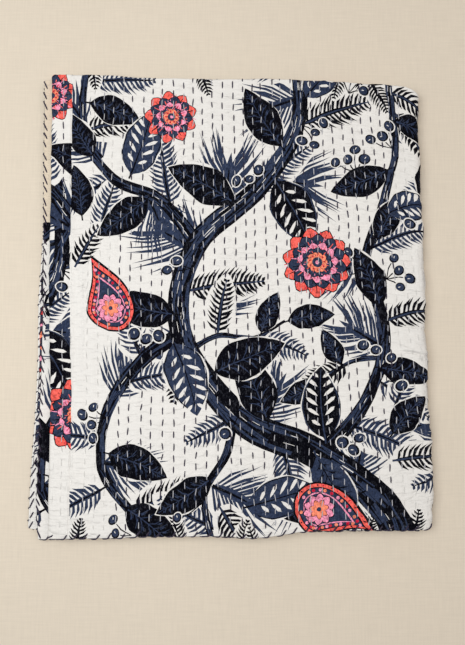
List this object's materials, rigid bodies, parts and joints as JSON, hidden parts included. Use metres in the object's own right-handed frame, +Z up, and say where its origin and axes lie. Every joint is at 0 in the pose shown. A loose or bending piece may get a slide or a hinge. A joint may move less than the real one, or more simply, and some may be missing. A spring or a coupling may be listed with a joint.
{
  "type": "folded kantha quilt",
  "caption": "Printed cotton quilt with rows of running stitch, folded flat into a thick rectangular packet with hems at its left and foot.",
  "frame": {"origin": "under the middle of the packet, at the height of the surface that it lies on", "axes": "+X across the packet from the hemmed side to the folded side, +Y along it from the hemmed end to the folded end, +Z up"},
  "size_m": [0.6092, 0.7138, 0.0263],
  "materials": {
    "printed_cotton": "matt"
  },
  "bodies": {
    "root": {"quilt": "printed_cotton"}
  },
  "joints": []
}
